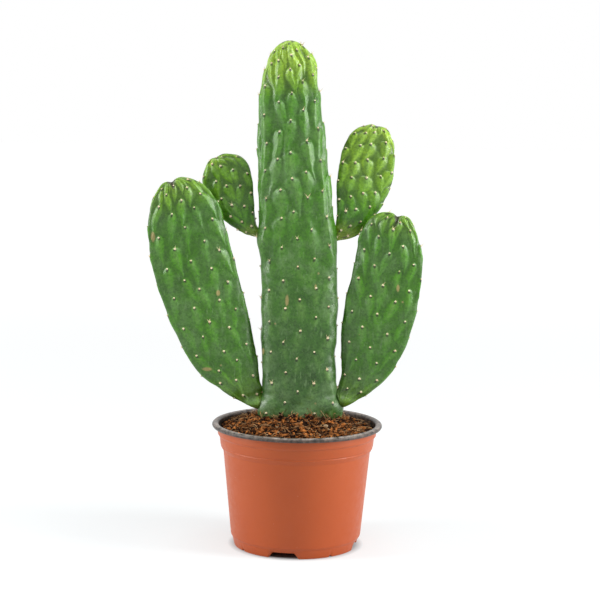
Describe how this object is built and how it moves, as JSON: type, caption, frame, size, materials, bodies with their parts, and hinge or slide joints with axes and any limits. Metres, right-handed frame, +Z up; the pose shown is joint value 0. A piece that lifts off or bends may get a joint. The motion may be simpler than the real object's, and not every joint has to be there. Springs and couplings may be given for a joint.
{
  "type": "potted paddle cactus",
  "caption": "Tall flat-stemmed cactus with side pads growing from a dome of coarse potting mix in a round tapered nursery pot with a rolled rim and a footed base.",
  "frame": {"origin": "middle of the whole plant's box at the surface that the pot stands on; the pot's own axis is at x = 0.01377, y = 0", "axes": "+Z up along the main stem, X across the flat faces of the pads, -Y towards the front"},
  "size_m": [0.2708, 0.17, 0.5023],
  "materials": {
    "pot_terracotta": "satin",
    "pot_black": "satin",
    "potting_mix": "matte",
    "mix_fibres": "matte",
    "root_bark": "matte",
    "stem_skin": "satin",
    "lower_pad_skin": "satin",
    "young_pad_skin": "satin",
    "areole_wool": "matte",
    "spines": "satin"
  },
  "bodies": {
    "root": {"pot": "pot_terracotta", "potting_mix": "potting_mix", "roots": "root_bark", "main_stem": "stem_skin", "lower_left_pad": "lower_pad_skin", "lower_right_pad": "lower_pad_skin", "upper_left_pad": "young_pad_skin", "upper_right_pad": "young_pad_skin"}
  },
  "joints": []
}
